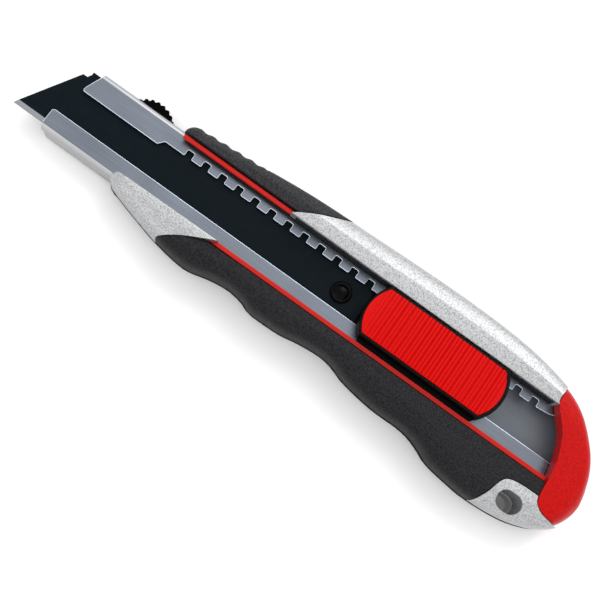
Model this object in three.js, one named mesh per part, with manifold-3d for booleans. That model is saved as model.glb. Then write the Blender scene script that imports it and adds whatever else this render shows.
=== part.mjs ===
// Snap-off utility knife with an 18 mm blade, an auto-lock thumb slider, a knurled blade clamp
// behind the nose of the steel rail, and a handle of black grips, silver covers and a red end cap.
// Millimetres, +Z up. The knife lies on its flat back: X runs from the blade tip (-X) to the end
// cap (+X), +Y is the thumb side and the cutting edge faces -Y.
import * as THREE from 'three';
import { LoftGeometry } from 'three/addons/geometries/LoftGeometry.js';
import { mergeVertices } from 'three/addons/utils/BufferGeometryUtils.js';
import Module from 'manifold-3d';

const wasm = await Module();
wasm.setup();

// ---------------------------------------------------------------- driving dimensions
const GAP = 0.3; // clearance between neighbouring pieces
const TIP_X = -86;
const CAP_END_X = 86;
const HALF_WIDTH = 20.2; // bridge top and belly of the grip, from the middle of the knife
const HANDLE_T = 14.5;
const HANDLE_ROUND = 4;
const BASE_T = 4.1; // back half of the handle, under the rail

const RAIL_Y = 3.5; // centre line of the rail, blade and slider
const RAIL = { width: 20.2, sheet: 0.8, bend: 1.25, z0: 4.4, z1: 9, x0: -77, x1: 74.8 };
const RAIL_REAR = [[69, 14.5], [74.8, 3]]; // slanted rear corner of the rail
const LIP = { lowerEdge: -1.1, noseEdge: 6.8, toothEdge: 8.4, noseEnd: -51.3 };
const NOTCH = { first: -43.2, pitch: 5, count: 22, width: 1.95, top: 10.25, corner: 0.3 };

const BLADE = { length: 100, width: 18, t: 0.5, z0: 7.4, bevel: 1.3, tipAngle: 60, hole: 2.3 };
const PEG = { x: 7.2, shaft: 2, head: 2.75, z0: 5.6, z1: 9.1 };
const CARRIER = { x0: 3, x1: 53.5, halfWidth: 8.7, z0: 5.5, t: 0.8, seatT: 1.6, blockT: 2.4 };
const SPRING = { x0: 20, x1: 44, y0: 8.4, y1: 12, z0: 7.4, t: 0.4, rivetX: 22.4, toothNotch: 16 };

const SLIDER = { x0: 13.8, x1: 54.5, halfWidth: 7.2, bulge: 2.6, z0: 10.2, z1: 14.5 };
const SLIDER_FOOT = { halfWidth: 6.6, z0: 9.3, neckZ0: 6.6, neckX0: 24, neckX1: 44 };
const PAD = { x0: 14.3, x1: 53.5, halfWidth: 6.5, bulge: 2.4, z0: 12.3, z1: 15.2, pitch: 2, rib: 0.35 };

const WALL = { upper: 13.9, lower: -6.9, t: 1.2, top: 10.3 }; // side walls of the rail channel
const LEDGE = { upper: 11, lower: -4.9, z0: 9.3 }; // ledges of the channel over the rail's lips
const STRIP = { z0: 10.6, z1: 12, width: 1.5 };
const LINER = { y0: 11.1, t: 1.3, z1: 12.9 };

const CLAMP = { x: -57.4, y: 10.4, wheelR: 7, wheelZ0: 0.8, wheelZ1: 3.5, screwR: 1.5, bushR: 2.3 };
const CLAMP_PAD = { r: 2, z0: 6.4, z1: 7.1 };
const EYE = { x: 69, y: -15.8, straight: 1.7, r: 2.55 }; // lanyard eye

const BLACK_RUBBER = { color: 0x29292b, roughness: 0.75, metalness: 0 };
const BLACK_NYLON = { color: 0x1b1b1d, roughness: 0.5, metalness: 0 };
const SILVER = { color: 0xc4c5c7, roughness: 0.4, metalness: 0.35 };
const RED = { color: 0xd3161a, roughness: 0.4, metalness: 0 };
const STEEL = { color: 0xa9adb0, roughness: 0.32, metalness: 0.9 };
const BLACK_STEEL = { color: 0x23262a, roughness: 0.35, metalness: 0.7 };

// ---------------------------------------------------------------- helpers
const knife = new THREE.Group();

/** Turns a closed three.js geometry into a solid that can be cut and joined. */
function solid(geometry) {
  const bare = geometry.index ? geometry.toNonIndexed() : geometry.clone();
  for (const name of ['normal', 'uv']) bare.deleteAttribute(name);
  const merged = mergeVertices(bare, 1e-4);
  return new wasm.Manifold(new wasm.Mesh({
    numProp: 3,
    vertProperties: new Float32Array(merged.attributes.position.array),
    triVerts: new Uint32Array(merged.index.array),
  }));
}

/** Adds a solid to the knife as a named mesh. */
function addPiece(name, body, look) {
  const data = body.getMesh();
  const geometry = new THREE.BufferGeometry();
  geometry.setAttribute('position', new THREE.BufferAttribute(data.vertProperties, 3));
  geometry.setIndex(new THREE.BufferAttribute(data.triVerts, 1));
  geometry.computeVertexNormals();
  const mesh = new THREE.Mesh(geometry, new THREE.MeshStandardMaterial(look));
  mesh.name = name;
  knife.add(mesh);
}

function box(x0, x1, y0, y1, z0, z1) {
  const geometry = new THREE.BoxGeometry(x1 - x0, y1 - y0, z1 - z0);
  geometry.translate((x0 + x1) / 2, (y0 + y1) / 2, (z0 + z1) / 2);
  return solid(geometry);
}

function cylinder(x, y, r, z0, z1, segments = 40) {
  const geometry = new THREE.CylinderGeometry(r, r, z1 - z0, segments);
  geometry.rotateX(Math.PI / 2);
  geometry.translate(x, y, (z0 + z1) / 2);
  return solid(geometry);
}

/** Straight prism of an XY outline between two heights. */
function prism(shape, z0, z1, curveSegments = 8) {
  const geometry = new THREE.ExtrudeGeometry(shape, { depth: z1 - z0, bevelEnabled: false, curveSegments });
  geometry.translate(0, 0, z0);
  return solid(geometry);
}

/** Prism along X of a section drawn in (Y, Z). */
function barAlongX(section, x0, x1, curveSegments = 4) {
  const geometry = new THREE.ExtrudeGeometry(section, { depth: x1 - x0, bevelEnabled: false, curveSegments });
  const [x, y, z] = [[1, 0, 0], [0, 1, 0], [0, 0, 1]].map((axis) => new THREE.Vector3(...axis));
  geometry.applyMatrix4(new THREE.Matrix4().makeBasis(y, z, x));
  geometry.translate(x0, 0, 0);
  return solid(geometry);
}

function shapeOf(points) {
  return new THREE.Shape(points.map(([x, y]) => new THREE.Vector2(x, y)));
}

/** A smooth line through a few points, as a list of points. */
function smooth(points, steps = 6) {
  const curve = new THREE.SplineCurve(points.map(([x, y]) => new THREE.Vector2(x, y)));
  return curve.getPoints((points.length - 1) * steps).map((p) => [p.x, p.y]);
}

/** The open line moved sideways by a distance, to its left as it is walked. */
function beside(line, distance) {
  return line.map(([x, y], i) => {
    const [ax, ay] = line[Math.max(i - 1, 0)];
    const [bx, by] = line[Math.min(i + 1, line.length - 1)];
    const length = Math.hypot(bx - ax, by - ay);
    return [x - ((by - ay) / length) * distance, y + ((bx - ax) / length) * distance];
  });
}

const joined = (...bodies) => bodies.reduce((all, body) => all.add(body));

// ---------------------------------------------------------------- handle outline and its divisions
// Top and bottom edges of the handle seen from the front, from the nose to the end cap.
const NOSE_EDGE = [[-55.3, -6.6], [-54.9, -5.6], [-53.4, -4.4], [-51.5, 0], [-48.9, 4], [-47.5, 9],
  [-47.2, 13.1], [-46.6, 14.5], [-45.4, 15.5]];
const BACK_EDGE = smooth([
  [-23, 17.6], [-11, 18.7], [5, 19.4], [25, HALF_WIDTH - 0.1], [36, HALF_WIDTH], [48, 19.9],
  [58, 18.8], [67, 16.7], [73.3, 14.1], [79, 9.3], [83, 3.8], [85.3, -1.8], [CAP_END_X, -6],
]);
const BELLY_EDGE = smooth([
  [-55.3, -7.2], [-54, -8.3], [-49, -10], [-42, -11.9], [-38, -12.9], [-32, -13.9], [-26.9, -14.1],
  [-21.5, -12.8], [-16, -12.1], [-11.5, -12.7], [-8.5, -13.8], [-4, -13.9], [1, -13.7],
  [6, -12.8], [12, -12.3], [16, -12.8], [19.8, -14.1], [25, -15], [31, -15.6], [38, -15.6],
  [42, -16.2], [45.4, -17.4], [48.7, -18.8], [54.7, -19.7], [61, -HALF_WIDTH], [70, -19.6],
  [76, -18.1], [80.5, -15.9], [83.6, -12.8], [85.4, -9.5], [CAP_END_X, -6],
]);

/** Top edge of the upper grip's nose: rounded ribs on a gently rising line. */
function gripRibs() {
  const ribs = { x0: -44.4, x1: -25, pitch: 3.66, y0: 15.9, rise: 0.065, height: 0.17, steps: 30 };
  const points = [];
  for (let i = 0; i <= ribs.steps; i += 1) {
    const x = ribs.x0 + ((ribs.x1 - ribs.x0) * i) / ribs.steps;
    const wave = ribs.height * Math.cos((2 * Math.PI * (x - ribs.x0)) / ribs.pitch);
    points.push([x, ribs.y0 + ribs.rise * (x - ribs.x0) + wave]);
  }
  return points;
}

/** Height of a line of points at x, between its two nearest points. */
function heightAt(line, x) {
  const next = Math.max(1, line.findIndex(([px]) => px >= x));
  const [[x0, y0], [x1, y1]] = [line[next - 1], line[next]];
  return THREE.MathUtils.lerp(y0, y1, (x - x0) / (x1 - x0));
}

/** Rounded-rectangle section of the handle at x, in the YZ plane. */
function handleSection(x, low, high) {
  const steps = 4;
  const toEnd = Math.max(0, x - (CAP_END_X - HANDLE_ROUND)) / HANDLE_ROUND;
  const r = Math.min(HANDLE_ROUND, 0.45 * (high - low));
  const sink = HANDLE_ROUND * (1 - Math.sqrt(1 - Math.min(toEnd, 0.98) ** 2));
  const [bottom, top] = [sink, HANDLE_T - sink];
  const corners = [[low + r, top - r], [low + r, bottom + r], [high - r, bottom + r], [high - r, top - r]];
  return corners.flatMap(([y, z], corner) => Array.from({ length: steps + 1 }, (_, i) => {
    const turn = (Math.PI / 2) * (1 + corner + i / steps);
    return new THREE.Vector3(x, y + r * Math.cos(turn), z + r * Math.sin(turn));
  }));
}

/** The handle as one rounded body, from which its pieces are divided. */
function handleEnvelope() {
  const topEdge = [...NOSE_EDGE, ...gripRibs(), ...BACK_EDGE];
  const edges = [...NOSE_EDGE, ...gripRibs()].map(([x]) => x);
  const bodyStart = edges[edges.length - 1];
  const bodySteps = 66;
  for (let i = 1; i <= bodySteps; i += 1) {
    const part = Math.sin((Math.PI / 2) * (i / bodySteps)); // stations close up towards the end cap
    edges.push(bodyStart + (CAP_END_X - 0.05 - bodyStart) * (0.7 * (i / bodySteps) + 0.3 * part));
  }
  const sections = edges.map((x) => handleSection(x, heightAt(BELLY_EDGE, x), heightAt(topEdge, x)));
  return solid(new LoftGeometry(sections, { capStart: true, capEnd: true }));
}

// Lines that divide the handle. Each is walked so that the piece it is named for lies on its left.
const LINES = {
  upperGrip: [[-15, 10.6], [-12.9, 12.3], [-8.2, 15], [-4.5, 16.8], [-1, 18.6], [4, 21.4]],
  wedge: [[-41, -18.5], [-38.4, -13.9], [-34, -10.4], [-29.2, -7.7], [-22, -4.2]],
  corner: smooth([
    [76, -10.4], [70, -10.4], [66, -11.1], [64.3, -13], [63.1, -17], [60, -24],
  ], 3),
  cap: smooth([
    [67.5, 24], [66.3, 16], [66, 12], [69, 9.2], [71.7, 5.9], [73.7, 0.5], [74.1, -5],
    [74.2, -10.6], [76, -12.9], [80, -13.8], [90, -14],
  ], 3),
};

/** Tall prism of everything on the left of a line, closed by the given far corners. */
function leftOf(line, corners, clearance = 0) {
  return prism(shapeOf([...beside(line, -clearance), ...corners]), -1, HANDLE_T + 1);
}

const ENVELOPE = handleEnvelope();
const FRONT_HALF = box(-60, 90, -25, 25, BASE_T + GAP, HANDLE_T + 1);
const CAP_CORNERS = [[95, -14], [95, 24]];
const CAP_REGION = leftOf(LINES.cap, CAP_CORNERS, -GAP / 2);
const CAP_KEEP_OUT = leftOf(LINES.cap, CAP_CORNERS, GAP / 2);

// ---------------------------------------------------------------- rail and blade clamp
/** C-shaped section of the rail, with lips wide enough for its nose. */
function railSection() {
  const { width, sheet, bend, z0, z1 } = RAIL;
  const [bottom, top] = [RAIL_Y - width / 2, RAIL_Y + width / 2];
  const inner = bend - sheet;
  const section = new THREE.Shape();
  section.moveTo(bottom + bend, z0);
  section.absarc(top - bend, z0 + bend, bend, -Math.PI / 2, 0, false);
  section.absarc(top - bend, z1 - bend, bend, 0, Math.PI / 2, false);
  section.lineTo(LIP.noseEdge, z1);
  section.lineTo(LIP.noseEdge, z1 - sheet);
  section.absarc(top - bend, z1 - bend, inner, Math.PI / 2, 0, true);
  section.absarc(top - bend, z0 + bend, inner, 0, -Math.PI / 2, true);
  section.absarc(bottom + bend, z0 + bend, inner, -Math.PI / 2, -Math.PI, true);
  section.absarc(bottom + bend, z1 - bend, inner, Math.PI, Math.PI / 2, true);
  section.lineTo(LIP.lowerEdge, z1 - sheet);
  section.lineTo(LIP.lowerEdge, z1);
  section.absarc(bottom + bend, z1 - bend, bend, Math.PI / 2, Math.PI, false);
  section.absarc(bottom + bend, z0 + bend, bend, Math.PI, 1.5 * Math.PI, false);
  return section;
}

/** What is cut out of the upper lip behind its nose: a strip with rounded locking notches. */
function rackCut() {
  const { first, pitch, count, width, top, corner } = NOTCH;
  const { noseEnd, noseEdge, toothEdge } = LIP;
  const cut = new THREE.Shape();
  cut.moveTo(noseEnd, noseEdge - 1);
  cut.lineTo(noseEnd, noseEdge);
  cut.lineTo(noseEnd + 1.3, toothEdge);
  for (let i = 0; i < count; i += 1) {
    const [left, right] = [first + i * pitch - width / 2, first + i * pitch + width / 2];
    cut.lineTo(left - corner, toothEdge);
    cut.quadraticCurveTo(left, toothEdge, left, toothEdge + corner);
    cut.lineTo(left, top - corner);
    cut.quadraticCurveTo(left, top, left + corner, top);
    cut.lineTo(right - corner, top);
    cut.quadraticCurveTo(right, top, right, top - corner);
    cut.lineTo(right, toothEdge + corner);
    cut.quadraticCurveTo(right, toothEdge, right + corner, toothEdge);
  }
  cut.lineTo(RAIL.x1 - 8, toothEdge + 0.4);
  cut.lineTo(RAIL.x1 - 4, toothEdge + 2);
  cut.lineTo(RAIL.x1 + 1, toothEdge + 2);
  cut.lineTo(RAIL.x1 + 1, noseEdge - 1);
  return cut;
}

function buildRail() {
  const { z0, z1, sheet, x0, x1 } = RAIL;
  const noseCut = shapeOf([[x0 - 1, -8], [x0 + 0.6, -8], [x0, -5], [x0, -1.6], [-76.4, -0.6],
    [-74, 7], [-73.9, 8.1], [-71.2, 15], [x0 - 1, 15]]);
  const lipEnd = shapeOf([[x1 - 0.7, LIP.lowerEdge + 0.5], [x1, -4], [x1 + 1, -4], [x1 + 1, 0]]);
  const rearCorner = shapeOf([...RAIL_REAR, [x1 + 6, RAIL_REAR[1][1]], [x1 + 6, RAIL_REAR[0][1]]]);
  const rail = barAlongX(railSection(), x0, x1)
    .subtract(prism(noseCut, z0 - 1, z1 + 1))
    .subtract(prism(rearCorner, z0 - 1, z1 + 1))
    .subtract(prism(lipEnd, z1 - sheet - 0.1, z1 + 1))
    .subtract(prism(rackCut(), z1 - sheet - 0.1, z1 + 1, 2))
    .subtract(cylinder(CLAMP.x, CLAMP.y, CLAMP.bushR + GAP, z0 - 1, z0 + sheet + 0.1));
  addPiece('channel_rail', rail, STEEL);
}

/** Knurled wheel: a disc with shallow scallops around its rim. */
function wheelShape() {
  const { x, y, wheelR } = CLAMP;
  const knurl = { lobes: 26, depth: 0.55, steps: 4 };
  const points = [];
  for (let i = 0; i < knurl.lobes * knurl.steps; i += 1) {
    const turn = (2 * Math.PI * i) / (knurl.lobes * knurl.steps);
    const r = wheelR - knurl.depth * (0.5 - 0.5 * Math.cos(knurl.lobes * turn));
    points.push([x + r * Math.cos(turn), y + r * Math.sin(turn)]);
  }
  return shapeOf(points);
}

function buildClamp() {
  const { x, y, wheelZ0, wheelZ1, screwR, bushR } = CLAMP;
  const bevel = 0.3;
  const disc = new THREE.ExtrudeGeometry(wheelShape(), {
    depth: wheelZ1 - wheelZ0 - 2 * bevel, bevelThickness: bevel, bevelSize: bevel,
    bevelOffset: -bevel, bevelSegments: 1,
  });
  disc.translate(0, 0, wheelZ0 + bevel);
  const bore = cylinder(x, y, screwR + GAP, wheelZ0 + 0.8, RAIL.z1);
  addPiece('clamp_wheel', solid(disc).subtract(bore), BLACK_NYLON);

  const screwTop = CLAMP_PAD.z0 - GAP;
  addPiece('clamp_screw', cylinder(x, y, screwR, wheelZ0 + 0.8 + GAP, screwTop), STEEL);

  const flangeZ = wheelZ1 + GAP;
  const bush = cylinder(x, y, bushR, flangeZ, RAIL.z0 + RAIL.sheet)
    .add(cylinder(x, y, bushR + 1.2, flangeZ, RAIL.z0 - GAP));
  addPiece('clamp_bush', bush.subtract(cylinder(x, y, screwR + GAP, 0, RAIL.z1)), STEEL);

  addPiece('clamp_pad', cylinder(x, y, CLAMP_PAD.r, CLAMP_PAD.z0, CLAMP_PAD.z1), STEEL);
}

// ---------------------------------------------------------------- blade and its carrier
/** Blade: a flat strip with a ground edge below and a slanted tip. */
function buildBlade() {
  const { length, width, t, z0, bevel, tipAngle, hole } = BLADE;
  const [bottom, top] = [RAIL_Y - width / 2, RAIL_Y + width / 2];
  const section = shapeOf([[bottom, z0 + t / 2], [bottom + bevel, z0], [top, z0], [top, z0 + t],
    [bottom + bevel, z0 + t]]);
  const slope = 1 / Math.tan(THREE.MathUtils.degToRad(tipAngle));
  const shoulder = { y: top - 1.9, step: 1.2, x: 0.6 }; // small step above the slanted tip
  const shoulderX = TIP_X + (shoulder.y - bottom) * slope;
  const outline = shapeOf([
    [TIP_X, bottom - 0.1], [TIP_X + length, bottom - 0.1], [TIP_X + length, top + 0.1],
    [shoulderX + shoulder.step + shoulder.x, top + 0.1], [shoulderX + shoulder.step + shoulder.x, top - 0.9],
    [shoulderX + shoulder.step, shoulder.y], [shoulderX, shoulder.y],
  ]);
  const blade = barAlongX(section, TIP_X - 1, TIP_X + length + 1)
    .intersect(prism(outline, z0 - 1, z0 + t + 1))
    .subtract(cylinder(PEG.x, RAIL_Y, hole, z0 - 1, z0 + t + 1));
  addPiece('blade', blade, BLACK_STEEL);
}

/** Domed pin that holds the rear hole of the blade on its carrier. */
function buildPeg() {
  const { x, shaft, head, z0, z1 } = PEG;
  const headZ = BLADE.z0 + BLADE.t + 0.2;
  const profile = new THREE.Path();
  profile.moveTo(0, z0);
  profile.lineTo(shaft, z0);
  profile.lineTo(shaft, headZ);
  profile.lineTo(head, headZ);
  profile.quadraticCurveTo(head - 0.1, z1 - 0.2, 0, z1);
  const geometry = new THREE.LatheGeometry(profile.getPoints(6), 36);
  geometry.rotateX(Math.PI / 2);
  geometry.translate(x, RAIL_Y, 0);
  addPiece('blade_peg', solid(geometry), BLACK_NYLON);
}

function buildCarrier() {
  const { x0, x1, halfWidth, z0, t, seatT, blockT } = CARRIER;
  const [low, high] = [RAIL_Y - halfWidth, RAIL_Y + halfWidth];
  const bladeEnd = TIP_X + BLADE.length;
  const { neckX0, neckX1 } = SLIDER_FOOT;
  const play = 1.8; // room for the slider's neck at each end
  const carrier = joined(
    box(x0, x1, low, high, z0, z0 + t),
    box(x0, bladeEnd - 1, low + 1, high - 1, z0, z0 + seatT),
    box(bladeEnd + GAP, bladeEnd + 5, low, high, z0, z0 + blockT),
    box(bladeEnd + 5, neckX0 - play, low, high, z0, z0 + seatT),
    box(neckX1 + play, x1, low, high, z0, z0 + blockT),
  );
  const pegHole = cylinder(PEG.x, RAIL_Y, PEG.shaft + GAP, z0 - 1, z0 + blockT);
  const springBay = box(bladeEnd + 4, x1 + 1, SPRING.y0 - GAP, high + 1, SPRING.z0 - GAP, RAIL.z1);
  const rivetHole = cylinder(SPRING.rivetX, 10.2, 0.9 + GAP, z0 - 1, z0 + blockT);
  const flexRoom = box(neckX0 - play, x1 + 1, SPRING.y0 - GAP, high + 1, z0 + t, RAIL.z1);
  addPiece('blade_carrier', carrier.subtract(pegHole).subtract(springBay).subtract(rivetHole)
    .subtract(flexRoom), BLACK_NYLON);
}

/** Leaf spring whose tooth stands in a notch of the rail, and the rivet at its fixed end. */
function buildLockSpring() {
  const { x0, x1, y0, y1, z0, t, rivetX, toothNotch } = SPRING;
  const rivetY = (y0 + y1) / 2;
  const toothX = NOTCH.first + toothNotch * NOTCH.pitch;
  const halfTooth = NOTCH.width / 2 - GAP;
  const tooth = box(toothX - halfTooth, toothX + halfTooth, LIP.toothEdge, NOTCH.top - GAP,
    z0, RAIL.z1 - 0.1);
  const spring = box(x0, x1, y0, y1, z0, z0 + t).add(tooth)
    .subtract(cylinder(rivetX, rivetY, 0.9 + GAP, z0 - 1, z0 + 1));
  addPiece('lock_spring', spring, STEEL);
  addPiece('spring_rivet', cylinder(rivetX, rivetY, 0.9, CARRIER.z0 + 0.1, z0 + t, 24), STEEL);
}

// ---------------------------------------------------------------- thumb slider
/** Long outline with straight sides and ends that bulge out as arcs. */
function bulgedOutline({ x0, x1, halfWidth, bulge }, margin = 0) {
  const half = halfWidth + margin;
  const [left, right] = [x0 - margin + bulge, x1 + margin - bulge];
  const radius = (half * half + bulge * bulge) / (2 * bulge);
  const angle = Math.asin(half / radius);
  const shape = new THREE.Shape();
  shape.moveTo(left, RAIL_Y - half);
  shape.lineTo(right, RAIL_Y - half);
  shape.absarc(x1 + margin - radius, RAIL_Y, radius, -angle, angle, false);
  shape.absarc(x0 - margin + radius, RAIL_Y, radius, Math.PI - angle, Math.PI + angle, false);
  return shape;
}

function buildSlider() {
  const { x0, x1, z0, z1 } = SLIDER;
  const foot = SLIDER_FOOT;
  const neckY = [LIP.lowerEdge + GAP, SPRING.y0 - GAP - 0.2];
  const frame = joined(
    prism(bulgedOutline(SLIDER), z0, z1),
    box(x0 + 3, x1 - 3, RAIL_Y - foot.halfWidth, RAIL_Y + foot.halfWidth, foot.z0, z0),
    box(foot.neckX0, foot.neckX1, ...neckY, foot.neckZ0, foot.z0),
  );
  const pocket = prism(bulgedOutline(PAD, GAP), PAD.z0 - GAP, z1 + 1);
  addPiece('slider_frame', frame.subtract(pocket), BLACK_NYLON);
  addPiece('slider_pad', ribbedSlab().intersect(prism(bulgedOutline(PAD), PAD.z0, z1 + 2)), RED);
}

/** Slab whose top is a row of rounded ribs across the knife, lower towards both ends. */
function ribbedSlab() {
  const { x0, x1, z0, z1, pitch, rib, halfWidth } = PAD;
  const steps = 6 * Math.round((x1 - x0) / pitch);
  const top = [];
  for (let i = 0; i <= steps; i += 1) {
    const x = x0 + ((x1 - x0) * i) / steps;
    const along = (2 * i) / steps - 1;
    const ridge = rib * Math.abs(Math.cos((Math.PI * (x - x0)) / pitch));
    top.push([x, z1 - rib + ridge - 0.5 * along ** 4]);
  }
  const profile = shapeOf([[x0, z0], [x1, z0], ...top.reverse()]);
  const geometry = new THREE.ExtrudeGeometry(profile, { depth: 2 * halfWidth, bevelEnabled: false });
  geometry.rotateX(Math.PI / 2);
  geometry.translate(0, RAIL_Y + halfWidth, 0);
  return solid(geometry);
}

// ---------------------------------------------------------------- handle pieces
/** Stadium-shaped lanyard eye through the rear corner. */
function eyeCut() {
  const { x, y, straight, r } = EYE;
  const eye = new THREE.Shape();
  eye.absarc(x + straight / 2, y, r, -Math.PI / 2, Math.PI / 2, false);
  eye.absarc(x - straight / 2, y, r, Math.PI / 2, 1.5 * Math.PI, false);
  return prism(eye, -1, HANDLE_T + 1);
}

/** Back half of the handle with the channel that holds the rail. */
function buildCore() {
  const { upper, lower, t, top } = WALL;
  const [upX0, upX1, lowX0, lowX1] = [-44.4, 65.4, -52.4, 73.4];
  const walls = joined(
    box(upX0, upX1, upper, upper + t, 0, top),
    box(upX0, upX1, LEDGE.upper, upper + t, LEDGE.z0, top),
    box(lowX0, lowX1, lower - t, lower, 0, top),
    box(lowX0, lowX1, lower - t, LEDGE.lower, LEDGE.z0, top),
    box(-12.6, upX1, LINER.y0, LINER.y0 + LINER.t, LEDGE.z0, LINER.z1),
  ).subtract(box(-13, upX1 + 1, 0, LINER.y0, LEDGE.z0 + 0.6, HANDLE_T));
  const base = ENVELOPE.intersect(box(-60, 90, -25, 25, -1, BASE_T));
  const core = base.add(walls.intersect(ENVELOPE)).subtract(CAP_KEEP_OUT).subtract(eyeCut());
  addPiece('handle_core', core, BLACK_NYLON);
}

/** Room that the core's walls, ledges and liner take, with clearance, out of the front pieces. */
function coreKeepOut() {
  const { upper, lower, t, top } = WALL;
  return joined(
    box(-60, 90, lower - t - GAP, upper + t + GAP, 0, top + GAP),
    box(-60, 90, LEDGE.lower - STRIP.width - GAP, LINER.y0 + STRIP.width + GAP, 0, STRIP.z1),
    box(-13, 90, 0, LINER.y0 + LINER.t + GAP, 0, LINER.z1 + GAP),
  );
}

function buildFrontPieces() {
  const keepOut = coreKeepOut();
  const front = ENVELOPE.intersect(FRONT_HALF).subtract(keepOut).subtract(CAP_KEEP_OUT);
  const upperSide = box(-60, 90, LINER.y0 + 0.1, 25, 0, HANDLE_T + 1);
  const gripSide = box(-60, 90, LINER.y0 + STRIP.width + GAP, 25, 0, HANDLE_T + 1);
  const lowerSide = box(-60, 90, -25, LEDGE.lower - 0.3, 0, HANDLE_T + 1);
  const lowGripSide = box(-60, 90, -25, LEDGE.lower - STRIP.width - GAP, 0, HANDLE_T + 1);

  const upperLeft = (clearance) => leftOf(LINES.upperGrip, [[-60, 24], [-60, 10]], clearance);
  addPiece('upper_grip', front.intersect(gripSide).intersect(upperLeft(-GAP / 2)), BLACK_RUBBER);
  addPiece('bridge_cover', front.intersect(upperSide).subtract(upperLeft(GAP / 2)), SILVER);

  const wedgeCorners = [[-22, 0], [-60, 0], [-60, -18.5]];
  const wedge = (clearance) => leftOf(LINES.wedge, wedgeCorners, clearance);
  const cornerFar = [[60, -30], [95, -30], [95, -10.4]];
  const corner = (clearance) => leftOf(LINES.corner, cornerFar, clearance);
  const eye = eyeCut();
  addPiece('nose_wedge', front.intersect(lowerSide).intersect(wedge(-GAP / 2)), SILVER);
  addPiece('lower_grip', front.intersect(lowGripSide).subtract(wedge(GAP / 2))
    .subtract(corner(GAP / 2)), BLACK_RUBBER);
  addPiece('lanyard_corner', front.intersect(corner(-GAP / 2)).subtract(eye), SILVER);
}

function buildStrips() {
  const { z0, z1, width } = STRIP;
  const lowEdge = LEDGE.lower;
  const upper = box(-46.8, -13.3, LINER.y0, LINER.y0 + width, z0, z1);
  const lower = box(-26.5, 75, lowEdge - width, lowEdge, z0, z1).subtract(CAP_KEEP_OUT);
  addPiece('upper_accent_strip', upper, RED);
  addPiece('lower_accent_strip', lower, RED);
}

/** Pull-off end cap, with two tongues that slide into the rail under its lips. */
function buildEndCap() {
  const { z0, z1, sheet } = RAIL;
  const [[rearX, rearY], [endX, endY]] = RAIL_REAR;
  const roomX = GAP * 1.5;
  const room = shapeOf([[60, rearY], [rearX + roomX, rearY], [endX + roomX, endY],
    [endX + roomX, WALL.lower], [60, WALL.lower]]);
  const railRoom = prism(room, z0 - GAP, z1 + GAP);
  const tongueZ = [z0 + sheet + GAP, z1 - sheet - GAP];
  const tongues = joined(
    box(67.5, RAIL.x1 + 2, -5.4, LIP.lowerEdge - 0.4, ...tongueZ),
    box(67.5, RAIL.x1 + 2, 9.6, 12.4, ...tongueZ),
  );
  const cap = ENVELOPE.intersect(CAP_REGION).subtract(railRoom).add(tongues);
  addPiece('end_cap', cap, RED);
}

buildRail();
buildClamp();
buildBlade();
buildPeg();
buildCarrier();
buildLockSpring();
buildSlider();
buildCore();
buildFrontPieces();
buildStrips();
buildEndCap();

export default knife;
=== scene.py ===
import math

import bmesh
import bpy
from bpy.props import FloatProperty, FloatVectorProperty, IntProperty, PointerProperty
from mathutils import Matrix, Vector


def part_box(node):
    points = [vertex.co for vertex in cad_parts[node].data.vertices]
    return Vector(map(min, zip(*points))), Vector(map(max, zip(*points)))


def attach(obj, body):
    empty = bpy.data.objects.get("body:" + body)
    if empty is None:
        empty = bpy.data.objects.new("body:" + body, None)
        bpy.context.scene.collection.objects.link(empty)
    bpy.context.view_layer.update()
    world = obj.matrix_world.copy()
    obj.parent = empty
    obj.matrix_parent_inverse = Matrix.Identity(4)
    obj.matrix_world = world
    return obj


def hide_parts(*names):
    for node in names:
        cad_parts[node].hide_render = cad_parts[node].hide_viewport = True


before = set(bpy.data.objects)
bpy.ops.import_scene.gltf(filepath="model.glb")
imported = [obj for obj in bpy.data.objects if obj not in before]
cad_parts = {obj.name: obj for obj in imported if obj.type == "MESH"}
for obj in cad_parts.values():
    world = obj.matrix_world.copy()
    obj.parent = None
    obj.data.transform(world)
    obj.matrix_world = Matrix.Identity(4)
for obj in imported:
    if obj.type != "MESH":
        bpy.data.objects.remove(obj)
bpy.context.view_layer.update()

bl_info = {
    "name": "Snap-off Utility Knife",
    "version": (1, 0, 0),
    "blender": (4, 5, 0),
    "location": "3D View > Sidebar > Knife",
    "description": "Builds the visual pieces of a snap-off utility knife on its packed frame",
    "category": "Add Mesh",
}

MM = 0.001


# ------------------------------------------------------------------ the frame, in millimetres
def corners(node):
    """Lowest and highest corner of a CAD node in millimetres."""
    low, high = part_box(node)
    return low / MM, high / MM


RAIL_LOW, RAIL_HIGH = corners("channel_rail")
RAIL_Y = (RAIL_LOW.y + RAIL_HIGH.y) / 2
BLADE_LOW, BLADE_HIGH = corners("blade")
PEG_LOW, PEG_HIGH = corners("blade_peg")
SLIDER_LOW, SLIDER_HIGH = corners("slider_frame")
PAD_LOW, PAD_HIGH = corners("slider_pad")
CORE_LOW = corners("handle_core")[0]
GRIP_LOW = corners("upper_grip")[0]
BELLY_HIGH = corners("lower_grip")[1]
BRIDGE_LOW = corners("bridge_cover")[0]
WEDGE_LOW, WEDGE_HIGH = corners("nose_wedge")
CAP_HIGH = corners("end_cap")[1]
WHEEL_LOW, WHEEL_HIGH = corners("clamp_wheel")


# ------------------------------------------------------------------ settings
def colour(name, description, default):
    return FloatVectorProperty(name=name, description=description, default=default,
                               size=3, min=0.0, max=1.0, subtype="COLOR")


def length(name, description, default, low, high):
    return FloatProperty(name=name, description=description, default=default,
                         min=low, max=high, unit="LENGTH")


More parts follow.
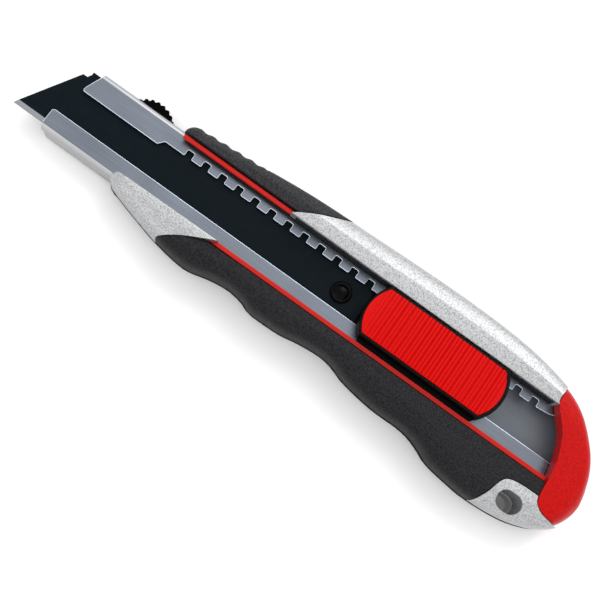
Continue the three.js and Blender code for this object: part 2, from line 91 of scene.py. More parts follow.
class KnifeFinishes(bpy.types.PropertyGroup):
    """Colours of the knife's materials."""
    steel: colour("Rail steel", "Brushed stainless steel of the rail", (0.165, 0.185, 0.218))
    blade: colour("Blade", "Black oxide of the blade", (0.0028, 0.0058, 0.0082))
    edge: colour("Ground edge", "Ground steel of the cutting edge", (0.25, 0.26, 0.28))
    silver: colour("Silver covers", "Silver-painted plastic", (0.385, 0.388, 0.394))
    rubber: colour("Grips", "Black soft plastic of the grips", (0.0108, 0.0110, 0.0123))
    nylon: colour("Core", "Black hard plastic", (0.0022, 0.0022, 0.0026))
    red: colour("Red plastic", "Slider pad, end cap and strips", (0.45, 0.003, 0.0025))


class KnifeHandleShape(bpy.types.PropertyGroup):
    """Cross-section of the handle's covers and grips, in metres."""
    face_z: length("Face height", "Height of the covers' front face", 14.4 * MM, 0.01, 0.02)
    ledge_z: length("Inner edge height", "Height of the grips' inner edge", 13.2 * MM, 0.01, 0.02)
    columns: IntProperty(name="Columns", description="Faces along each cover", default=260,
                         min=40, max=600)
    rows: IntProperty(name="Rows", description="Faces around each cover's section", default=64,
                      min=24, max=160)


class KnifeSliderShape(bpy.types.PropertyGroup):
    """Ribs of the thumb slider, in metres."""
    rib_pitch: length("Rib pitch", "Distance between two ribs", 2.0 * MM, 0.001, 0.004)
    groove: length("Groove depth", "Depth of the grooves between ribs", 0.42 * MM, 0.0, 0.001)
    smooth_front: length("Shallow front", "Length with shallow ribs", 7.5 * MM, 0.0, 0.02)


class KnifeStage(bpy.types.PropertyGroup):
    """Camera and light."""
    camera_distance: length("Camera distance", "Lens to the rail's face", 0.30, 0.1, 2.0)
    camera_tilt: FloatProperty(name="Tilt", description="Lean of the view towards the finger side",
                               default=math.radians(11.5), subtype="ANGLE")
    camera_roll: FloatProperty(name="Roll", description="Slope of the knife in the picture",
                               default=math.radians(35.6), subtype="ANGLE")
    picture_width: length("Picture width", "Width seen at the rail's face", 0.1475, 0.05, 1.0)
    key_power: FloatProperty(name="Key light", description="Power of the main soft light",
                             default=1.4, min=0.0, max=200.0, unit="POWER")
    rim_power: FloatProperty(name="Rim light", description="Power of the low light on the back",
                             default=0.42, min=0.0, max=200.0, unit="POWER")


# ------------------------------------------------------------------ mesh helpers, in millimetres
def mix(a, b, part):
    return a + (b - a) * part


def height_on(line, x):
    """Value at x of a line of (x, y) points, on a smooth curve through them."""
    if x <= line[0][0]:
        return line[0][1]
    if x >= line[-1][0]:
        return line[-1][1]
    i = next(k for k in range(1, len(line)) if line[k][0] >= x)
    (x0, y0), (x1, y1) = line[i - 1], line[i]
    before = line[i - 2] if i > 1 else (2 * x0 - x1, 2 * y0 - y1)
    after = line[i + 1] if i + 1 < len(line) else (2 * x1 - x0, 2 * y1 - y0)
    slope0 = (y1 - before[1]) / (x1 - before[0])
    slope1 = (after[1] - y0) / (after[0] - x0)
    t = (x - x0) / (x1 - x0)
    span = x1 - x0
    return ((2 * t ** 3 - 3 * t ** 2 + 1) * y0 + (t ** 3 - 2 * t ** 2 + t) * slope0 * span
            + (3 * t ** 2 - 2 * t ** 3) * y1 + (t ** 3 - t ** 2) * slope1 * span)


def round_section(control, t):
    """Point at t of a closed smooth curve led by control points; a doubled point is a corner."""
    count = len(control)
    s = (t % 1.0) * count
    i = int(s)
    f = s - i
    p0, p1, p2 = (control[(i + k) % count] for k in (-1, 0, 1))
    weights = (0.5 * (1 - f) ** 2, 0.5 + f * (1 - f), 0.5 * f ** 2)
    return tuple(sum(w * p[axis] for w, p in zip(weights, (p0, p1, p2))) for axis in (0, 1))


def skin(columns, rows, place):
    """Closed skin: a grid rolled into a tube by place(along, around) and closed at its ends."""
    bm = bmesh.new()
    bmesh.ops.create_grid(bm, x_segments=columns, y_segments=rows, size=0.5)
    for vert in bm.verts:
        vert.co = place(vert.co.x + 0.5, vert.co.y + 0.5)
    bmesh.ops.remove_doubles(bm, verts=bm.verts, dist=1e-4)
    bmesh.ops.dissolve_degenerate(bm, edges=bm.edges, dist=1e-4)
    bmesh.ops.holes_fill(bm, edges=[edge for edge in bm.edges if edge.is_boundary], sides=0)
    bmesh.ops.recalc_face_normals(bm, faces=bm.faces)
    return bm


def extruded(bm, faces):
    """Extrudes faces and gives the new vertices, still in their old place."""
    grown = bmesh.ops.extrude_face_region(bm, geom=faces)
    return [item for item in grown["geom"] if isinstance(item, bmesh.types.BMVert)]


def extrude(bm, faces, way):
    """Extrudes faces along a vector and turns every normal outwards."""
    bmesh.ops.translate(bm, vec=way, verts=extruded(bm, faces))
    bmesh.ops.recalc_face_normals(bm, faces=bm.faces)


def drum(middle, radius, depth, segments=48, top_radius=None):
    """Upright cylinder, or a cone where its top has a radius of its own."""
    bm = bmesh.new()
    bmesh.ops.create_cone(bm, cap_ends=True, segments=segments, radius1=radius,
                          radius2=top_radius or radius, depth=depth,
                          matrix=Matrix.Translation(middle))
    return bm


def prism(points, z0, z1, round_at=0.0, segments=4):
    """Upright prism of an outline, its corners rounded where a radius is given."""
    bm = bmesh.new()
    verts = [bm.verts.new((x, y, z0)) for x, y in points]
    face = bm.faces.new(verts)
    if round_at:
        bmesh.ops.bevel(bm, geom=verts, offset=round_at, segments=segments, profile=0.5,
                        affect="VERTICES", clamp_overlap=True, material=-1)
        face = max(bm.faces, key=lambda f: f.calc_area())
    extrude(bm, [face], (0, 0, z1 - z0))
    return bm


def bevel_edges(bm, edges, width, segments):
    """Rounds edges of a mesh under construction."""
    bmesh.ops.bevel(bm, geom=list(edges), offset=width, segments=segments, profile=0.5,
                    affect="EDGES", clamp_overlap=True, material=-1)


def to_object(bm, name):
    mesh = bpy.data.meshes.new(name)
    bm.to_mesh(mesh)
    bm.free()
    piece = bpy.data.objects.new(name, mesh)
    bpy.context.scene.collection.objects.link(piece)
    return piece


def cut(piece, cutter_bm, operation="DIFFERENCE"):
    """Joins or cuts a piece with a second mesh and keeps the result as its own mesh."""
    cutter = to_object(cutter_bm, piece.name + "_cutter")
    modifier = piece.modifiers.new("cut", "BOOLEAN")
    modifier.operation = operation
    modifier.solver = "EXACT"
    modifier.object = cutter
    bake(piece)
    cutter_mesh = cutter.data
    bpy.data.objects.remove(cutter)
    bpy.data.meshes.remove(cutter_mesh)


def bake(piece):
    """Turns a piece's modifiers into its mesh."""
    graph = bpy.context.evaluated_depsgraph_get()
    graph.update()
    mesh = bpy.data.meshes.new_from_object(piece.evaluated_get(graph))
    old = piece.data
    piece.modifiers.clear()
    piece.data = mesh
    mesh.name = piece.name
    bpy.data.meshes.remove(old)


def finish(piece, body, nodes, materials, smooth=35.0, bevel=0.0, segments=2):
    """Scales a piece to metres, gives it its finish and puts it on its CAD body."""
    piece.data.transform(Matrix.Scale(MM, 4))
    if bevel:
        modifier = piece.modifiers.new("edges", "BEVEL")
        modifier.width = bevel * MM
        modifier.segments = segments
        modifier.limit_method = "ANGLE"
        modifier.angle_limit = math.radians(35)
        for material in materials:
            piece.data.materials.append(material)
        bake(piece)
    piece.data.shade_smooth()
    piece.data.set_sharp_from_angle(angle=math.radians(smooth))
    modifier = piece.modifiers.new("normals", "WEIGHTED_NORMAL")
    modifier.keep_sharp = True
    modifier.weight = 90
    bake(piece)
    if not bevel and materials:
        piece.data.materials.clear()
        for material in materials:
            piece.data.materials.append(material)
    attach(piece, body)
    if nodes:
        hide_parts(*nodes)
    return piece


def copy_of(node, name):
    """Merged copy of a CAD node's mesh, in millimetres."""
    bm = bmesh.new()
    bm.from_mesh(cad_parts[node].data)
    bmesh.ops.scale(bm, vec=(1 / MM,) * 3, verts=bm.verts)
    bmesh.ops.remove_doubles(bm, verts=bm.verts, dist=1e-3)
    bmesh.ops.dissolve_limit(bm, angle_limit=math.radians(0.5), verts=bm.verts, edges=bm.edges)
    return to_object(bm, name)


# ------------------------------------------------------------------ materials
class Finish:
    """A material under construction: its nodes and the shader they lead to."""

    def __init__(self, name):
        self.material = bpy.data.materials.new(name)
        self.material.use_nodes = True
        self.nodes = self.material.node_tree.nodes
        self.links = self.material.node_tree.links
        self.shader = self.nodes["Principled BSDF"]

    def node(self, kind, **inputs):
        node = self.nodes.new(kind)
        for name, value in inputs.items():
            node.inputs[name.replace("_", " ")].default_value = value
        return node

    def place(self, scale):
        """Object coordinates stretched by a scale for each axis."""
        coords = self.nodes.new("ShaderNodeTexCoord")
        mapping = self.node("ShaderNodeMapping", Scale=scale)
        self.links.new(coords.outputs["Object"], mapping.inputs["Vector"])
        return mapping.outputs["Vector"]

    def noise(self, scale, detail=2.0, roughness=0.5, stretch=(1, 1, 1)):
        node = self.node("ShaderNodeTexNoise", Scale=scale, Detail=detail, Roughness=roughness)
        self.links.new(self.place(stretch), node.inputs["Vector"])
        return node.outputs["Fac"]

    def ramp(self, value, low, high, stops=(0.35, 0.65)):
        """Colours between two values of a pattern."""
        node = self.nodes.new("ShaderNodeValToRGB")
        node.color_ramp.elements[0].position = stops[0]
        node.color_ramp.elements[1].position = stops[1]
        node.color_ramp.elements[0].color = (*low, 1)
        node.color_ramp.elements[1].color = (*high, 1)
        self.links.new(value, node.inputs["Fac"])
        return node.outputs["Color"]

    def spread(self, value, low, high):
        """Numbers between two values of a pattern."""
        node = self.node("ShaderNodeMapRange", To_Min=low, To_Max=high)
        self.links.new(value, node.inputs["Value"])
        return node.outputs["Result"]

    def mixed(self, one, two):
        """Average of two patterns."""
        node = self.nodes.new("ShaderNodeMix")
        self.links.new(one, node.inputs["A"])
        self.links.new(two, node.inputs["B"])
        return node.outputs["Result"]

    def bump(self, height, strength, distance):
        node = self.node("ShaderNodeBump", Strength=strength, Distance=distance)
        self.links.new(height, node.inputs["Height"])
        return node.outputs["Normal"]

    def set(self, **values):
        for name, value in values.items():
            socket = self.shader.inputs[name.replace("_", " ")]
            if isinstance(value, bpy.types.NodeSocket):
                self.links.new(value, socket)
            else:
                socket.default_value = value


def tint(rgb, factor):
    return tuple(min(1.0, channel * factor) for channel in rgb)


def plastic(name, rgb, roughness, grain, depth, spread=0.12, specular=0.5):
    """Moulded plastic with a fine spark-eroded grain."""
    made = Finish(name)
    speckle = made.noise(grain, detail=3.0, roughness=0.6)
    cloud = made.noise(60.0, detail=2.0)
    made.set(
        Base_Color=made.ramp(speckle, tint(rgb, 1 - spread), tint(rgb, 1 + spread)),
        Roughness=made.spread(cloud, roughness - 0.06, roughness + 0.06),
        Normal=made.bump(speckle, 0.6, depth),
        Specular_IOR_Level=specular,
    )
    return made.material


def silver_paint(rgb):
    """Silver-painted plastic with a leathery grain."""
    made = Finish("silver_paint")
    grain = made.noise(2900.0, detail=2.5, roughness=0.6)
    made.set(
        Base_Color=made.ramp(grain, tint(rgb, 0.66), tint(rgb, 1.14), stops=(0.38, 0.56)),
        Metallic=0.6,
        Roughness=made.spread(grain, 0.26, 0.42),
        Normal=made.bump(grain, 0.8, 0.00009),
        Specular_IOR_Level=0.3,
    )
    return made.material


def brushed_steel(name, rgb, roughness, brush, metallic=1.0):
    """Cold-rolled stainless steel with fine lines along X."""
    made = Finish(name)
    lines = made.noise(1.0, detail=4.0, roughness=0.65, stretch=(60, 5200, 5200))
    cloud = made.noise(70.0, detail=4.0)
    made.set(
        Base_Color=made.ramp(made.mixed(cloud, lines), tint(rgb, 0.78), tint(rgb, 1.24),
                             stops=(0.25, 0.75)),
        Metallic=metallic,
        Roughness=made.spread(lines, roughness - 0.08, roughness + 0.1),
        Normal=made.bump(lines, brush, 0.000015),
    )
    return made.material


def black_oxide(rgb):
    """Black oxide on rolled blade steel, with faint rolling lines and lighter scuffs."""
    made = Finish("black_oxide")
    lines = made.noise(1.0, detail=3.0, roughness=0.6, stretch=(90, 2600, 2600))
    scuff = made.noise(420.0, detail=5.0, roughness=0.7)
    made.set(
        Base_Color=made.ramp(scuff, rgb, tint(rgb, 1.5), stops=(0.5, 0.8)),
        Roughness=made.spread(lines, 0.34, 0.46),
        Normal=made.bump(lines, 0.15, 0.000005),
        Specular_IOR_Level=0.045,
    )
    return made.material


MATERIALS = {}


def make_materials(look):
    steel, rubber, nylon, red = look.steel, look.rubber, look.nylon, look.red
    MATERIALS.update(
        steel=brushed_steel("rail_steel", steel, 0.27, 0.2),
        # brighter copy of the rail steel for the outer flange and the upper bend: painted highlight
        flange_steel=brushed_steel("flange_steel", (0.4, 0.4, 0.41), 0.4, 0.25),
        # rail steel at four times the brightness for the eased lip edges: painted highlight
        cut_edge=brushed_steel("sheared_edge", tint(steel, 4.0), 0.5, 0.1),
        # darker copy of the rail steel for the channel floor: painted shade
        mill_steel=brushed_steel("mill_steel", tint(steel, 0.72), 0.42, 0.3, 0.35),
        screw_steel=brushed_steel("screw_steel", tint(steel, 0.95), 0.25, 0.15),
        edge=brushed_steel("ground_edge", look.edge, 0.36, 0.3),
        oxide=black_oxide(look.blade),
        silver=silver_paint(look.silver),
        # pale grey for the sleeve in the lanyard eye; its light colour stands in for light reaching
        # down the hole: painted light
        sleeve=plastic("eye_sleeve", (0.8, 0.8, 0.8), 0.5, 2600.0, 0.00001, 0.05),
        rubber=plastic("soft_grip", rubber, 0.6, 2300.0, 0.0002, 0.7, 0.12),
        # the grips' black plastic at 1.9 times the brightness for the upper grip, which lies
        # towards the lights: painted light
        thumb_rubber=plastic("thumb_grip", tint(rubber, 1.9), 0.6, 2500.0, 0.00025, 0.75, 0.2),
        nylon=plastic("core_nylon", nylon, 0.45, 3400.0, 0.00002, 0.2, 0.08),
        core=plastic("inner_nylon", tint(nylon, 4.0), 0.5, 3400.0, 0.00002, 0.2, 0.12),
        wheel=plastic("wheel_nylon", tint(nylon, 0.5), 0.5, 3000.0, 0.00002, 0.2, 0.02),
        gloss=plastic("gloss_black", tint(nylon, 0.4), 0.14, 1800.0, 0.000003, 0.1, 0.06),
        pad=plastic("pad_red", tint(red, 1.09), 0.36, 3000.0, 0.00001, 0.06, 0.06),
        cap=plastic("cap_red", tint(red, 0.86), 0.3, 2300.0, 0.00016, 0.25, 0.08),
        strip=plastic("strip_red", (0.5, 0.014, 0.009), 0.36, 3000.0, 0.00001, 0.08, 0.12),
    )


# ------------------------------------------------------------------ rail and clamp
SHEET = 0.8
LIP_TOP_EDGE = 8.4
LIP_NOSE_EDGE = 6.8
LIP_LOWER_EDGE = -1.1
UNDER_LIPS = RAIL_HIGH.z - 0.9
RAIL_LOOKS = ("steel", "cut_edge", "mill_steel", "flange_steel")
NOTCHES = {"first": -43.2, "pitch": 5.0, "count": 22, "width": 1.95, "top": 10.25}


def rail_section():
    """The C-shaped section of the rail, drawn at its front end and bent at its corners."""
    bend = 1.25
    x = RAIL_LOW.x - 1
    low, high, back, front = RAIL_LOW.y, RAIL_HIGH.y, RAIL_LOW.z, RAIL_HIGH.z
    outer = [(low, back), (high, back), (high, front), (LIP_NOSE_EDGE, front)]
    inner = [(LIP_NOSE_EDGE, front - SHEET), (high - SHEET, front - SHEET),
             (high - SHEET, back + SHEET), (low + SHEET, back + SHEET),
             (low + SHEET, front - SHEET), (LIP_LOWER_EDGE, front - SHEET)]
    rest = [(LIP_LOWER_EDGE, front), (low, front)]
    bm = bmesh.new()
    verts = [bm.verts.new((x, y, z)) for y, z in outer + inner + rest]
    bm.faces.new(verts)
    outside = [verts[n] for n in (0, 1, 2, 11)]
    inside = [verts[n] for n in (5, 6, 7, 8)]
    for group, radius in ((outside, bend), (inside, bend - SHEET)):
        bmesh.ops.bevel(bm, geom=group, offset=radius, segments=6, profile=0.5,
                        affect="VERTICES", clamp_overlap=False, material=-1)
    return bm


def rack_outline():
    """Strip cut out of the upper lip behind its nose, with a notch every 5 mm."""
    nose_end = -51.3
    points = [(nose_end, LIP_NOSE_EDGE - 1), (nose_end, LIP_NOSE_EDGE),
              (nose_end + 1.3, LIP_TOP_EDGE)]
    for i in range(NOTCHES["count"]):
        middle = NOTCHES["first"] + i * NOTCHES["pitch"]
        left, right = middle - NOTCHES["width"] / 2, middle + NOTCHES["width"] / 2
        points += [(left, LIP_TOP_EDGE), (left, NOTCHES["top"]), (right, NOTCHES["top"]),
                   (right, LIP_TOP_EDGE)]
    end = RAIL_HIGH.x
    points += [(end - 8, LIP_TOP_EDGE + 0.4), (end - 4, LIP_TOP_EDGE + 2),
               (end + 1, LIP_TOP_EDGE + 2), (end + 1, LIP_NOSE_EDGE - 1)]
    return points


class KNIFE_OT_rail(bpy.types.Operator):
    """Bends the steel rail, punches its locking notches and trims its ends"""
    bl_idname = "knife.rail"
    bl_label = "Steel rail"

    def execute(self, context):
        bm = rail_section()
        extrude(bm, bm.faces[:], (RAIL_HIGH.x - RAIL_LOW.x + 2, 0, 0))
        rail = to_object(bm, "rail_body")
        x0, x1 = RAIL_LOW.x, RAIL_HIGH.x
        z0, z1 = RAIL_LOW.z - 1, RAIL_HIGH.z + 1
        nose = [(x0 - 2, -9), (x0 + 0.8, -9), (x0 + 0.1, -5.6), (x0, -5), (x0, -1.6),
                (-76.4, -0.6), (-74.1, 6.6), (-73.9, 8.1), (-71.2, 15), (x0 - 2, 15)]
        rear = [(69, 14.5), (x1, 3), (x1, -9), (x1 + 6, -9), (x1 + 6, 14.5)]
        lip_end = [(x1 - 0.7, LIP_LOWER_EDGE + 0.5), (x1, -4), (x1 + 1, -4), (x1 + 1, 0)]
        cut(rail, prism(nose, z0, z1))
        cut(rail, prism(rear, z0, z1))
        cut(rail, prism(lip_end, UNDER_LIPS, z1))
        cut(rail, prism(rack_outline(), UNDER_LIPS, z1, round_at=0.35, segments=3))
        screw = (corners("clamp_bush")[0] + corners("clamp_bush")[1]) / 2
        cut(rail, drum((screw.x, screw.y, RAIL_LOW.z + 0.2), 2.6, 3))
        skirt_low, skirt_top = 1.0, RAIL_LOW.z + 1.4
        skirt = [(RAIL_LOW.y, skirt_low), (RAIL_LOW.y, skirt_top),
                 (RAIL_LOW.y + SHEET, skirt_top), (RAIL_LOW.y + SHEET, skirt_low)]
        cut(rail, self.skirt(skirt, RAIL_LOW.x + 0.9, CORE_LOW.x - 0.4), "UNION")
        rail.data.materials.clear()
        for name in RAIL_LOOKS:
            rail.data.materials.append(MATERIALS[name])
        self.round_noses(rail)
        self.ease_lips(rail)
        finish(rail, "handle", ["channel_rail"], [], smooth=20)
        self.look_faces(rail)
        return {"FINISHED"}

    def look_faces(self, rail):
        """Gives the floor of the rail a darker steel as painted shade, and the outer flange and the
        upper bend a brighter steel as painted highlight.
        """
        floor_z = (RAIL_LOW.z + SHEET) * MM
        for face in rail.data.polygons:
            # faces of the channel floor, which get the darker steel as painted shade
            on_floor = abs(face.center.z - floor_z) < 2e-5 and face.normal.z > 0.9
            # outer flange sides and the upper bend, which get the brighter steel as painted
            # highlight
            flange = face.normal.y < -0.35 and face.center.y < (RAIL_LOW.y + 1.3) * MM
            bend = 0.12 < face.normal.y < 0.7 and face.normal.z > 0.5 and face.center.y > 0.01
            if on_floor:
                face.material_index = RAIL_LOOKS.index("mill_steel")
            elif flange or bend:
                face.material_index = RAIL_LOOKS.index("flange_steel")

    def skirt(self, section, x0, x1):
        """Lower edge of the bent flange, which reaches further down in front of the handle."""
        bm = bmesh.new()
        face = bm.faces.new([bm.verts.new((x0, y, z)) for y, z in section])
        extrude(bm, [face], (x1 - x0, 0, 0))
        upright = [e for e in bm.edges if (e.verts[0].co - e.verts[1].co).xz.length < 1e-4
                   and e.verts[0].co.z < 2]
        bevel_edges(bm, upright, 1.2, 5)
        return bm

    def round_noses(self, rail):
        """Rounds the front corners of both lips."""
        bm = bmesh.new()
        bm.from_mesh(rail.data)
        lip_z = RAIL_HIGH.z - SHEET

        def at_nose(edge):
            a, b = (v.co for v in edge.verts)
            upright = (a - b).xy.length < 1e-3 and min(a.z, b.z) > lip_z - 0.05
            return upright and a.x < -70 and min(abs(a.y - LIP_LOWER_EDGE),
                                                 abs(a.y - LIP_NOSE_EDGE)) < 0.25

        bevel_edges(bm, [edge for edge in bm.edges if at_nose(edge)], 0.9, 6)
        bm.to_mesh(rail.data)
        bm.free()

    def ease_lips(self, rail):
        """Breaks the sheared edges around the face of both lips."""
        bm = bmesh.new()
        bm.from_mesh(rail.data)
        bmesh.ops.remove_doubles(bm, verts=bm.verts, dist=2e-3)
        bmesh.ops.dissolve_limit(bm, angle_limit=math.radians(1), verts=bm.verts, edges=bm.edges)

        def sheared(edge):
            level = all(abs(vert.co.z - RAIL_HIGH.z) < 5e-3 for vert in edge.verts)
            if not level or len(edge.link_faces) != 2:
                return False
            return min(abs(face.normal.z) for face in edge.link_faces) < 0.3

        # the bevels on the lip edges get the four-times-brighter steel: painted highlight along the
        # edges
        bmesh.ops.bevel(bm, geom=[edge for edge in bm.edges if sheared(edge)], offset=0.16,
                        segments=2, profile=0.5, affect="EDGES", clamp_overlap=False,
                        material=RAIL_LOOKS.index("cut_edge"))
        for vert in bm.verts:
            if vert.co.z > RAIL_HIGH.z - 5e-3:
                vert.co.z = RAIL_HIGH.z
        bm.to_mesh(rail.data)
        bm.free()


class KNIFE_OT_clamp(bpy.types.Operator):
    """Turns and knurls the clamp wheel and finishes its screw, bush and pad"""
    bl_idname = "knife.clamp"
    bl_label = "Blade clamp"

    def execute(self, context):
        middle = (WHEEL_LOW + WHEEL_HIGH) / 2
        radius = (WHEEL_HIGH.x - WHEEL_LOW.x) / 2
        lobes, knurl = 26, 0.5
        bm = bmesh.new()
        bmesh.ops.create_circle(bm, cap_ends=True, segments=lobes * 10, radius=radius)
        for vert in bm.verts:
            turn = math.atan2(vert.co.y, vert.co.x)
            wave = 0.5 - 0.5 * math.cos(lobes * turn)
            vert.co *= 1 - knurl * wave ** 1.4 / radius
        bmesh.ops.translate(bm, vec=(middle.x, middle.y, WHEEL_LOW.z), verts=bm.verts)
        extrude(bm, bm.faces[:], (0, 0, WHEEL_HIGH.z - WHEEL_LOW.z))
        rims = [e for e in bm.edges if abs(e.verts[0].co.z - e.verts[1].co.z) < 1e-6]
        bevel_edges(bm, rims, 0.35, 2)
        wheel = to_object(bm, "wheel_knurled")
        bore = drum((middle.x, middle.y, WHEEL_LOW.z + 2.8), 1.8, 4, segments=40)
        dish = drum((middle.x, middle.y, WHEEL_LOW.z), 4.6, 1, segments=64, top_radius=4.2)
        cut(wheel, bore)
        cut(wheel, dish)
        finish(wheel, "clamp_knob", ["clamp_wheel"], [MATERIALS["wheel"]])
        for node, name, body in (("clamp_screw", "screw_shank", "clamp_knob"),
                                 ("clamp_bush", "bush_ring", "handle"),
                                 ("clamp_pad", "pad_disc", "clamp_shoe")):
            piece = copy_of(node, name)
            finish(piece, body, [node], [MATERIALS["screw_steel"]], bevel=0.1)
        return {"FINISHED"}


# ------------------------------------------------------------------ blade and carrier
class KNIFE_OT_blade(bpy.types.Operator):
    """Grinds the blade's edge and presses its score lines"""
    bl_idname = "knife.blade"
    bl_label = "Blade"

    def execute(self, context):
        low, high = BLADE_LOW, BLADE_HIGH
        bevel, slope = 1.3, 1 / math.tan(math.radians(60))
        shoulder_y = high.y - 1.9
        shoulder_x = low.x + (shoulder_y - low.y) * slope
        points = [(low.x, low.y), (high.x, low.y), (high.x, high.y), (shoulder_x + 1.8, high.y),
                  (shoulder_x + 1.8, high.y - 0.9), (shoulder_x + 1.2, shoulder_y),
                  (shoulder_x, shoulder_y)]
        bm = prism(points, low.z, high.z)
        everything = lambda: bm.verts[:] + bm.edges[:] + bm.faces[:]
        bmesh.ops.bisect_plane(bm, geom=everything(), dist=1e-5, plane_co=(0, low.y + bevel, 0),
                               plane_no=(0, 1, 0))
        middle_z = (low.z + high.z) / 2
        for vert in bm.verts:
            if vert.co.y < low.y + 0.01:
                vert.co.z = mix(middle_z, vert.co.z, 0.12)
        self.press_score_lines(bm, everything, slope)
        piece = to_object(bm, "blade_strip")
        cut(piece, drum((PEG_LOW.x + 2.75, RAIL_Y, middle_z), 2.2, 3))
        finish(piece, "carrier", ["blade"], [MATERIALS["oxide"], MATERIALS["edge"]],
               smooth=8)
        for face in piece.data.polygons:
            ground = face.center.y < (low.y + bevel) * MM and 0.5 < abs(face.normal.z) < 0.9999
            face.material_index = 1 if ground else 0
        return {"FINISHED"}

    def press_score_lines(self, bm, everything, slope):
        """Presses a shallow V groove into the front face every 10 mm, along the tip's slant."""
        normal = Vector((1, -slope, 0)).normalized()
        half, depth, pitch = 0.05, 0.02, 10.0
        for i in range(1, 9):
            middle = Vector((BLADE_LOW.x + i * pitch, BLADE_LOW.y, 0))
            for offset in (-half, 0, half):
                bmesh.ops.bisect_plane(bm, geom=everything(), dist=1e-5, plane_no=normal,
                                       plane_co=middle + normal * offset)
            for vert in bm.verts:
                on_line = abs((vert.co - middle).dot(normal)) < 1e-3
                if on_line and vert.co.z > BLADE_HIGH.z - 0.01:
                    vert.co.z -= depth


class KNIFE_OT_carrier(bpy.types.Operator):
    """Rounds the peg's dome and finishes the blade carrier, leaf spring and rivet"""
    bl_idname = "knife.carrier"
    bl_label = "Blade carrier"

    def execute(self, context):
        middle = (PEG_LOW + PEG_HIGH) / 2
        radius = (PEG_HIGH.x - PEG_LOW.x) / 2
        seat = PEG_HIGH.z - 1.0
        profile = [(0.0, PEG_LOW.z), (2.0, PEG_LOW.z), (2.0, seat), (radius, seat),
                   (radius, seat + 0.35), (radius - 0.25, seat + 0.6), (radius - 0.7, seat + 0.62),
                   (radius - 0.85, seat + 0.5), (radius - 1.0, seat + 0.62),
                   (1.0, PEG_HIGH.z - 0.06), (0.0, PEG_HIGH.z)]
        bm = bmesh.new()
        verts = [bm.verts.new((middle.x + r, middle.y, z)) for r, z in profile]
        edges = [bm.edges.new(pair) for pair in zip(verts, verts[1:])]
        bmesh.ops.spin(bm, geom=verts + edges, cent=(middle.x, middle.y, 0), axis=(0, 0, 1),
                       angle=2 * math.pi, steps=64, use_merge=True)
        bmesh.ops.remove_doubles(bm, verts=bm.verts, dist=1e-4)
        bmesh.ops.recalc_face_normals(bm, faces=bm.faces)
        peg = to_object(bm, "peg_dome")
        finish(peg, "carrier", ["blade_peg"], [MATERIALS["gloss"]], smooth=50)
        for node, name, slot, look, edge in (
                ("blade_carrier", "carrier_tongue", "black_nylon", "nylon", 0.15),
                ("lock_spring", "spring_leaf", "steel", "screw_steel", 0.06),
                ("spring_rivet", "rivet_head", "steel", "screw_steel", 0.1)):
            piece = copy_of(node, name)
            finish(piece, "carrier", [node], [MATERIALS[look]], bevel=edge)
        return {"FINISHED"}


# ------------------------------------------------------------------ thumb slider
PAD_HALF, PAD_BULGE = 6.5, 2.4


def bulged(x0, x1, half, bulge, steps=14):
    """Outline with straight sides whose ends bulge out as arcs."""
    radius = (half * half + bulge * bulge) / (2 * bulge)
    reach = math.asin(half / radius)
    points = []
    for end, centre in ((0.0, x1 - radius), (math.pi, x0 + radius)):
        for i in range(steps + 1):
            turn = end + mix(-reach, reach, i / steps)
            points.append((centre + radius * math.cos(turn), RAIL_Y + radius * math.sin(turn)))
    return points


